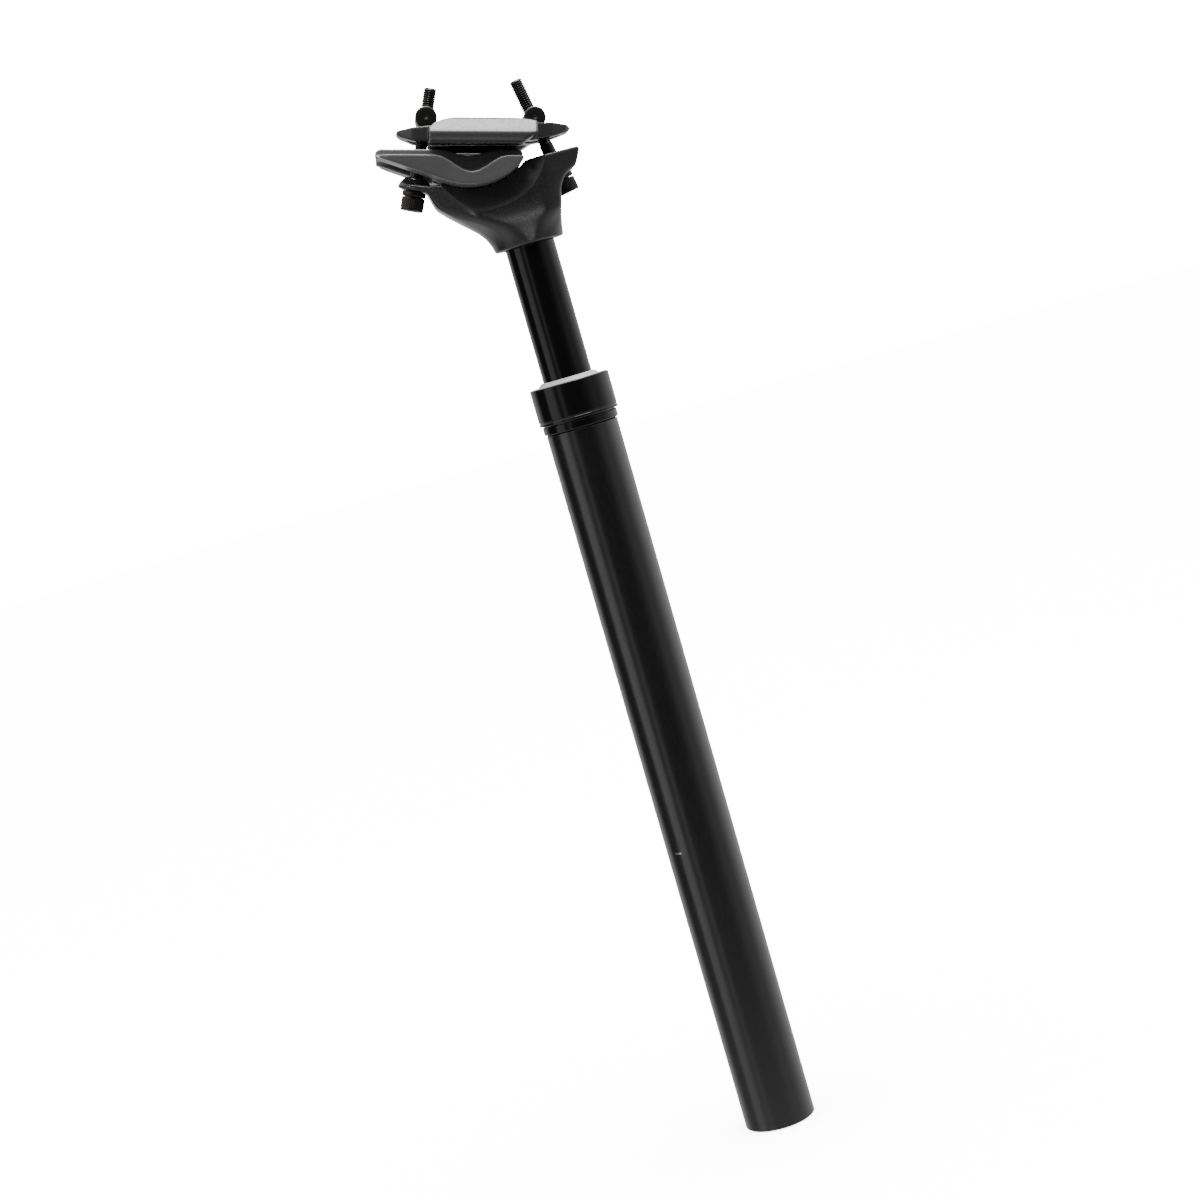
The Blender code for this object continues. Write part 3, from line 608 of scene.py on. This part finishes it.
def make_wiper():
    """The pale wiper: its lip leans in on the shaft a little above the collar."""
    collar_top = span("collar_nut")[1]
    low = span("wiper_seal")[0]
    lip = collar_top + 1.5 * MM
    outline = [
        (WIPER_BORE + 0.4 * MM, lip),
        (WIPER_BORE + 1.1 * MM, lip - 0.4 * MM),
        (WIPER_RADIUS, collar_top - 0.35 * MM),
        (WIPER_RADIUS, low),
        (WIPER_BORE, low),
        (WIPER_BORE, lip),
    ]
    seal = revolved("wiper_ring", rounded(outline, 0.25 * MM))
    dress(seal, "pale_nylon", "outer_tube", "wiper_seal")


def make_shaft():
    low, high, radius = span("inner_shaft")
    outline = [(radius, high), (radius, low), (SHAFT_BORE, low), (SHAFT_BORE, high)]
    shaft = revolved("shaft_tube", rounded(outline, 0.6 * MM))
    dress(shaft, "polished_black", "shaft", "inner_shaft")


# Spring stack


def make_plug():
    low, high, radius = span("preload_plug")
    outline = [(0, high), (radius, high), (radius, low), (0, low)]
    outline = rounded(outline, 0.8 * MM, closed=False)
    plug = revolved("preload_screw", outline, steps=MEDIUM_STEPS, closed=False)
    socket = prism("socket", PLUG_SOCKET / math.sqrt(3), low - MM, low + PLUG_SOCKET_DEPTH, 6)
    dress(cut(plug, socket), "turned_alloy", "preload_plug", "preload_plug")


def make_coil():
    low, high, _ = span("coil_spring")
    bottom = low + WIRE_RADIUS
    top = high - WIRE_RADIUS
    closed_pitch = 2 * WIRE_RADIUS + COIL_CLOSED_GAP
    active_turns = COIL_TURNS - 2 * COIL_CLOSED_TURNS
    active_pitch = (top - bottom - 2 * COIL_CLOSED_TURNS * closed_pitch) / active_turns
    per_turn = 24
    count = round(COIL_TURNS * per_turn) + 1
    curve = bpy.data.curves.new("compression_spring", "CURVE")
    curve.dimensions = "3D"
    curve.bevel_depth = WIRE_RADIUS
    curve.bevel_resolution = 4
    curve.use_fill_caps = True
    spline = curve.splines.new("POLY")
    spline.points.add(count - 1)
    for i, point in enumerate(spline.points):
        turn = i / per_turn
        active = min(max(turn - COIL_CLOSED_TURNS, 0), active_turns)
        height = bottom + active * active_pitch + (turn - active) * closed_pitch
        angle = 2 * math.pi * turn
        point.co = (COIL_RADIUS * math.cos(angle), COIL_RADIUS * math.sin(angle), height, 1)
    drawn = show("spring_curve", curve)
    graph = bpy.context.evaluated_depsgraph_get()
    mesh = bpy.data.meshes.new_from_object(drawn.evaluated_get(graph))
    bpy.data.objects.remove(drawn, do_unlink=True)
    spring = show("compression_spring", shade(mesh))
    spring.data.materials.clear()
    spring.data.materials.append(FINISHES["spring_steel"])
    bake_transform(spring)
    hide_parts("coil_spring")


def make_elastomer():
    """The elastomer block, turned with a waist between its bulges."""
    low, high, radius = span("lower_elastomer")
    rise = (high - low) / ELASTOMER_LOBES
    waist = radius - ELASTOMER_WAIST
    outline = [(ELASTOMER_BORE, high)]
    for lobe in range(ELASTOMER_LOBES):
        top = high - lobe * rise
        steps = ((radius, 0.05), (radius, 0.35), (waist, 0.5), (radius, 0.65), (radius, 0.95))
        outline += [(r, top - share * rise) for r, share in steps]
    outline.append((ELASTOMER_BORE, low))
    block = revolved("preload_elastomer", rounded(outline, 0.9 * MM), steps=MEDIUM_STEPS)
    block.data.materials.append(FINISHES["elastomer_red"])
    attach(block, "outer_tube")
    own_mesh(block)
    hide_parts("lower_elastomer")


# Clamp screws, washers and nuts


def joint_called(name):
    return next(joint for joint in frame["joints"] if joint["name"] == name)


def screw_frame(which):
    """The matrix that takes a screw's own axis and seat to their place on the head."""
    joint = joint_called(which + "_bolt_spin")
    axis = Vector(joint["axis"]).normalized()
    lean = math.atan2(axis.x, axis.z)
    return Matrix.Translation(Vector(joint["pos_m"])) @ Matrix.Rotation(lean, 4, "Y")


def threaded_shank(name, low, high, matrix):
    """A screw's shank with a real helical thread over its upper stretch, and a chamfered end."""
    turn_rows = 10
    rows = round((high - low) / SCREW_PITCH * turn_rows)
    profile = [(0.0, low)]
    profile += [(SCREW_RADIUS, low + (high - low) * i / rows) for i in range(rows + 1)]
    profile += [(SCREW_RADIUS * 0.6, high + 0.02 * MM), (0.0, high + 0.02 * MM)]
    thread_start = high - THREAD_LENGTH

    def groove(angle, radius, height):
        if radius < SCREW_RADIUS or height < thread_start:
            return 0.0
        phase = (height / SCREW_PITCH - angle / (2 * math.pi)) % 1.0
        ridge = abs(2 * phase - 1)
        depth = THREAD_DEPTH * min(1.0, (height - thread_start) / SCREW_PITCH)
        cut_in = depth * min(1.0, max(0.0, 1.25 * ridge - 0.1))
        chamfer = max(0.0, height - (high - 0.6 * MM))
        return -max(cut_in, chamfer)

    return revolved(name, profile, steps=THREAD_STEPS, matrix=matrix, closed=False, wave=groove)


def make_washer(which):
    outline = [
        (WASHER_RADIUS, WASHER_TOP),
        (WASHER_RADIUS, WASHER_BOTTOM),
        (WASHER_BORE, WASHER_BOTTOM),
        (WASHER_BORE, WASHER_TOP),
    ]
    outline = rounded(outline, 0.35 * MM)
    washer = revolved(which + "_seat_washer", outline, steps=SMALL_STEPS, matrix=screw_frame(which))
    dress(washer, "blackened_steel", which + "_washer", which + "_washer")


def make_screw(which):
    """A socket-head screw, head down: a knurled cap with a hexagon socket, and a threaded shank."""
    place = screw_frame(which)
    head_bottom = SCREW_HEAD_TOP - SCREW_HEAD_HEIGHT
    knurl_low = head_bottom + KNURL_MARGIN
    knurl_high = SCREW_HEAD_TOP - KNURL_MARGIN

    def knurl(angle, radius, height):
        if radius < SCREW_HEAD_RADIUS * 0.999 or not knurl_low < height < knurl_high:
            return 0.0
        return -KNURL_DEPTH * (0.5 + 0.5 * math.cos(KNURLS * angle))

    outline = [
        (0, SCREW_HEAD_TOP),
        (SCREW_HEAD_RADIUS, SCREW_HEAD_TOP),
        (SCREW_HEAD_RADIUS, knurl_high + 0.05 * MM),
        (SCREW_HEAD_RADIUS, knurl_high - 0.1 * MM),
        (SCREW_HEAD_RADIUS, knurl_low + 0.1 * MM),
        (SCREW_HEAD_RADIUS, knurl_low - 0.05 * MM),
        (SCREW_HEAD_RADIUS, head_bottom),
        (0, head_bottom),
    ]
    outline = rounded(outline, 0.45 * MM, closed=False)
    cap = revolved(which + "_cap", outline, steps=KNURL_STEPS, matrix=place, closed=False, wave=knurl)
    corner = SCREW_HEX / math.sqrt(3)
    cut(cap, prism("socket", corner, head_bottom - MM, head_bottom + SCREW_HEX_DEPTH, 6, place))
    tip = SCREW_HEAD_TOP + SCREW_LENGTH
    shank = threaded_shank(which + "_shank", SCREW_HEAD_TOP - 0.5 * MM, tip, place)
    screw = joined(which + "_clamp_screw", cap, shank)
    dress(screw, "blackened_steel", which + "_bolt", which + "_bolt")


def make_nut(which):
    """A barrel nut that lies across the clamp, with a hole for its screw."""
    centre = Vector(joint_called(which + "_nut_swivel")["pos_m"])
    across = Matrix.Translation(centre) @ Matrix.Rotation(-math.pi / 2, 4, "X")
    outline = [
        (0, NUT_HALF_LENGTH - 0.5 * MM),
        (0.7 * MM, NUT_HALF_LENGTH),
        (NUT_RADIUS, NUT_HALF_LENGTH),
        (NUT_RADIUS, -NUT_HALF_LENGTH),
        (0.7 * MM, -NUT_HALF_LENGTH),
        (0, 0.5 * MM - NUT_HALF_LENGTH),
    ]
    outline = rounded(outline, 0.7 * MM, closed=False)
    barrel = revolved(which + "_barrel", outline, steps=SMALL_STEPS, matrix=across, closed=False)
    along = Matrix.Translation(centre) @ screw_frame(which).to_3x3().to_4x4()
    reach = NUT_HALF_LENGTH + MM
    tapping = prism("tapping", SCREW_RADIUS + TAPPING_CLEARANCE, -reach, reach, 48, along)
    dress(cut(barrel, tapping), "blackened_steel", which + "_nut", which + "_nut")


def joined(name, *objects):
    """One object holding the meshes of several."""
    work = bmesh.new()
    for obj in objects:
        work.from_mesh(obj.data)
        bpy.data.objects.remove(obj, do_unlink=True)
    mesh = bpy.data.meshes.new(name)
    work.to_mesh(mesh)
    work.free()
    return show(name, shade(mesh))


# Camera


def camera_axes():
    """The camera's right, up and backward directions, in the post's frame."""
    up = Vector((*(PICTURE_LEAN * math.cos(LEAN_TO_LENS)), math.sin(LEAN_TO_LENS))).normalized()
    side = Vector((PICTURE_LEAN.y, -PICTURE_LEAN.x, 0)).normalized()
    forward = up.cross(side)
    post_x = side * math.cos(TURN) + forward * math.sin(TURN)
    post_y = forward * math.cos(TURN) - side * math.sin(TURN)
    return Matrix((post_x, post_y, up))


def make_camera():
    turn = camera_axes()
    camera = bpy.data.cameras.new("photo_camera")
    camera.lens = LENS
    camera.sensor_width = SENSOR
    camera.clip_start = 0.01
    camera.clip_end = 50
    obj = bpy.data.objects.new("photo_camera", camera)
    bpy.context.scene.collection.objects.link(obj)
    place = Vector((0, 0, AIM_HEIGHT)) - turn @ AIM_IN_CAMERA
    obj.matrix_world = Matrix.Translation(place) @ turn.to_4x4()
    bpy.context.scene.camera = obj


# Studio


# Brightness that the studio shows to the post's surfaces, by direction, in degrees. Azimuth is from the
# lens, positive towards the right of the picture. UP_AND_DOWN is added to AROUND times AROUND_SHARE.
AROUND = [
    (-180, 0.85),
    (-140, 0.85),
    (-126, 0.65),
    (-114, 0.03),
    (-84, 0.03),
    (-77, 0.95),
    (-57, 0.85),
    (-49, 0.22),
    (-42, 0.12),
    (-38, 0.42),
    (-30, 0.42),
    (-26, 0.08),
    (-14, 0.03),
    (22, 0.02),
    (36, 0.08),
    (48, 0.22),
    (60, 0.36),
    (74, 0.33),
    (88, 0.60),
    (106, 1.00),
    (132, 1.05),
    (180, 0.85),
]
UP_AND_DOWN = [
    (-90, 0.9),
    (-36, 0.8),
    (-25, 0.30),
    (-16, 0.10),
    (-8, 0.03),
    (10, 0.0),
    (24, 0.3),
    (42, 1.4),
    (60, 2.5),
    (90, 2.5),
]
AROUND_SHARE = [(-30, 0.3), (-12, 1.0), (20, 1.0), (45, 0.15)]
# Small white cards beside the lens that show only in the head: name, azimuth, elevation, width, height
# and radiance
HEAD_CARDS = [
    ("flank_card", -27, -6, 0.26, 0.14, 4.5),
    ("neck_card", 10, -10, 0.20, 0.18, 3.5),
    ("boss_card", -35, 24, 0.30, 0.16, 13.0),
    ("seat_card", 12, 42, 0.50, 0.20, 3.0),
]
BRIGHTEST = 3.0
LENS_AZIMUTH = -3.7
TOP_BOX = ("top_box", 90, 82, 0.9, 0.7, 17.0)
TOP_BOX_DISTANCE = 1.2
CARD_DISTANCE = 1.0
LIT_POINT = (-0.005, 0, 0.375)
FLOOR_RADIUS = 6.0
FLOOR_DROP = 0.1 * MM
DOME_RADIUS = 7.0
# The lamp gives the floor about this glow, and the dome is lifted above it so that no horizon shows.
BACKDROP_GLOW = 14.0
DOME_LIFT = 1.4
FLOOR_WHITENESS = 0.85
LAMP_SPREAD = 70


def fill_ramp(ramp, stops, place):
    """Sets a colour ramp to grey levels, each a share of the brightest."""
    while len(ramp.elements) > 1:
        ramp.elements.remove(ramp.elements[-1])
    for i, (where, level) in enumerate(stops):
        element = ramp.elements[0] if i == 0 else ramp.elements.new(place(where))
        element.position = place(where)
        element.color = (level, level, level, 1)


def math_node(nodes, links, operation, first, second):
    node = nodes.new("ShaderNodeMath")
    node.operation = operation
    for socket, value in zip(node.inputs, (first, second)):
        if isinstance(value, float):
            socket.default_value = value
        else:
            links.new(value, socket)
    return node.outputs[0]


def make_world():
    """A studio of soft white and dark boards, drawn by direction."""
    world = bpy.data.worlds.new("studio")
    bpy.context.scene.world = world
    world.use_nodes = True
    nodes = world.node_tree.nodes
    links = world.node_tree.links
    direction = nodes.new("ShaderNodeTexCoord").outputs["Generated"]
    parts = nodes.new("ShaderNodeSeparateXYZ")
    links.new(direction, parts.inputs[0])
    towards_lens = math_node(nodes, links, "MULTIPLY", parts.outputs[1], -1.0)
    azimuth = math_node(nodes, links, "ARCTAN2", parts.outputs[0], towards_lens)
    turned = math_node(nodes, links, "ADD", azimuth, math.pi - math.radians(LENS_AZIMUTH))
    turns = math_node(nodes, links, "DIVIDE", turned, 2 * math.pi)
    around_at = math_node(nodes, links, "FRACT", turns, 0.0)
    height_at = math_node(nodes, links, "MULTIPLY_ADD", parts.outputs[2], 0.5)
    height_at.node.inputs[2].default_value = 0.5

    def by_height(degrees):
        return 0.5 + 0.5 * math.sin(math.radians(degrees))

    ramps = {}
    for name, stops, place, source in (
        ("around", [(a, v / BRIGHTEST) for a, v in AROUND], lambda a: (a + 180) / 360, around_at),
        ("height", [(a, v / BRIGHTEST) for a, v in UP_AND_DOWN], by_height, height_at),
        ("share", AROUND_SHARE, by_height, height_at),
    ):
        node = nodes.new("ShaderNodeValToRGB")
        fill_ramp(node.color_ramp, stops, place)
        links.new(source, node.inputs[0])
        ramps[name] = node.outputs[0]
    level = math_node(nodes, links, "MULTIPLY", ramps["around"], ramps["share"])
    level = math_node(nodes, links, "ADD", level, ramps["height"])
    background = nodes["Background"]
    links.new(level, background.inputs["Color"])
    background.inputs["Strength"].default_value = BRIGHTEST


def panel(name, azimuth, elevation, width, height, radiance, distance):
    """A soft box that faces the post's head and stays out of the picture."""
    light = bpy.data.lights.new(name, "AREA")
    light.shape = "RECTANGLE"
    light.size = width
    light.size_y = height
    light.energy = radiance * math.pi * width * height
    obj = bpy.data.objects.new(name, light)
    bpy.context.scene.collection.objects.link(obj)
    around = math.radians(azimuth + LENS_AZIMUTH)
    up = math.radians(elevation)
    away = Vector((math.sin(around) * math.cos(up), -math.cos(around) * math.cos(up), math.sin(up)))
    place = Vector(LIT_POINT) + away * distance
    obj.matrix_world = Matrix.Translation(place) @ away.to_track_quat("Z", "Y").to_matrix().to_4x4()
    obj.visible_camera = False
    return obj


def make_studio():
    """A white table and backdrop that don't light the post, and a lamp that lights only them."""
    make_world()
    panel(*TOP_BOX, TOP_BOX_DISTANCE)
    for values in HEAD_CARDS:
        card = panel(*values, CARD_DISTANCE)
        card.light_linking.receiver_collection = bpy.data.collections["head_only"]
    stage = bpy.data.collections.new("stage")
    bpy.context.scene.collection.children.link(stage)
    floor = bpy.data.objects.new("floor", disc("floor", FLOOR_RADIUS))
    floor.location.z = -FLOOR_DROP
    floor.data.materials.append(paper("floor_paper", FLOOR_WHITENESS, 0.0))
    backdrop = bpy.data.objects.new("backdrop", dome("backdrop", DOME_RADIUS))
    backdrop.data.materials.append(paper("backdrop_paper", 0.0, BACKDROP_GLOW * DOME_LIFT))
    for obj in (floor, backdrop):
        stage.objects.link(obj)
        for ray in ("diffuse", "glossy", "transmission", "volume_scatter", "shadow"):
            setattr(obj, "visible_" + ray, False)
    lamp = bpy.data.lights.new("table_lamp", "SUN")
    lamp.energy = BACKDROP_GLOW * math.pi / FLOOR_WHITENESS
    lamp.angle = math.radians(LAMP_SPREAD)
    lamp_object = bpy.data.objects.new("table_lamp", lamp)
    bpy.context.scene.collection.objects.link(lamp_object)
    lamp_object.light_linking.receiver_collection = stage


def disc(name, radius):
    work = bmesh.new()
    bmesh.ops.create_circle(work, cap_ends=True, segments=96, radius=radius)
    mesh = bpy.data.meshes.new(name)
    work.to_mesh(mesh)
    work.free()
    return mesh


def dome(name, radius):
    work = bmesh.new()
    bmesh.ops.create_uvsphere(work, u_segments=48, v_segments=24, radius=radius)
    bmesh.ops.reverse_faces(work, faces=work.faces)
    mesh = bpy.data.meshes.new(name)
    work.to_mesh(mesh)
    work.free()
    mesh.shade_smooth()
    return mesh


def paper(name, whiteness, glow):
    """Pale backdrop paper, evenly lit where it glows."""
    made = bpy.data.materials.new(name)
    made.use_nodes = True
    shader = made.node_tree.nodes["Principled BSDF"]
    shader.inputs["Base Color"].default_value = (whiteness, whiteness, whiteness, 1)
    shader.inputs["Roughness"].default_value = 0.9
    shader.inputs["Specular IOR Level"].default_value = 0.1
    shader.inputs["Emission Color"].default_value = (1, 1, 1, 1)
    shader.inputs["Emission Strength"].default_value = glow
    return made


def dress_cad_nodes():
    """The pieces inside the tube keep their CAD shapes, with the finishes above."""
    for part in frame["record"]["subparts"]:
        node = frame["nodes"][part["node"]]
        node.data.materials.clear()
        node.data.materials.append(FINISHES[part["material_slot"]])


# Forged pieces: head, cradle and cover


def off_the_boss(point):
    """1 away from the dome over the rear screw, and little on it, so that the dome keeps its size."""
    seat = screw_frame("rear").translation
    away = math.hypot(point.x - seat.x, point.z - seat.z)
    return DOME_SHARE + (1 - DOME_SHARE) * between(away, *DOME_EDGE)


def around_the_neck(point):
    """Where the head's neck flows into its body: above the neck's rim and below the seat."""
    above_rim = between(point.z, *NECK_RIM)
    below_seat = between(point.z, *NECK_TOP)
    outside = between(math.hypot(point.x, point.y), *NECK_SKIN)
    return above_rim * below_seat * outside


def make_head():
    """The head: smooth in its neck, its flanks cut away beside the seat, and a pocket for each washer."""
    head = forged("head_forging", "head", HEAD_VOXEL, HEAD_ROUNDS, off_the_boss)
    softened(head, NECK_ROUNDS, around_the_neck)
    rocker = Vector(joint_called("clamp_tilt")["pos_m"])
    for side in (-1, 1):
        across = Matrix.Translation(rocker) @ Matrix.Rotation(-side * math.pi / 2, 4, "X")
        cut(head, revolved("seat_flank", FLANK_OUTLINE, MEDIUM_STEPS, across, closed=False))
    pocket_radius = WASHER_RADIUS + POCKET_CLEARANCE
    pockets = [prism("pocket", pocket_radius, -POCKET_DEPTH, 0, 64, screw_frame(which)) for which in SCREWS]
    cut(head, *pockets)
    dress(head, "forged_black", "shaft", "head")
    head_only = bpy.data.collections.new("head_only")
    bpy.context.scene.collection.children.link(head_only)
    head_only.objects.link(head)


def make_clamp():
    cradle = forged("rail_cradle", "lower_cradle", CLAMP_VOXEL, CRADLE_ROUNDS)
    dress(cradle, "forged_black", "clamp", "lower_cradle", finish=FINISHES["cradle_black"])
    cover = forged("rail_cover", "upper_clamp", CLAMP_VOXEL, COVER_ROUNDS)
    dress(cover, "forged_black", "clamp", "upper_clamp", finish=FINISHES["cover_black"])


dress_cad_nodes()
make_tube()
make_lock_ring()
make_collar()
make_wiper()
make_shaft()
make_plug()
make_coil()
make_elastomer()
for which in SCREWS:
    make_washer(which)
    make_screw(which)
    make_nut(which)
make_head()
make_clamp()
make_camera()
make_studio()
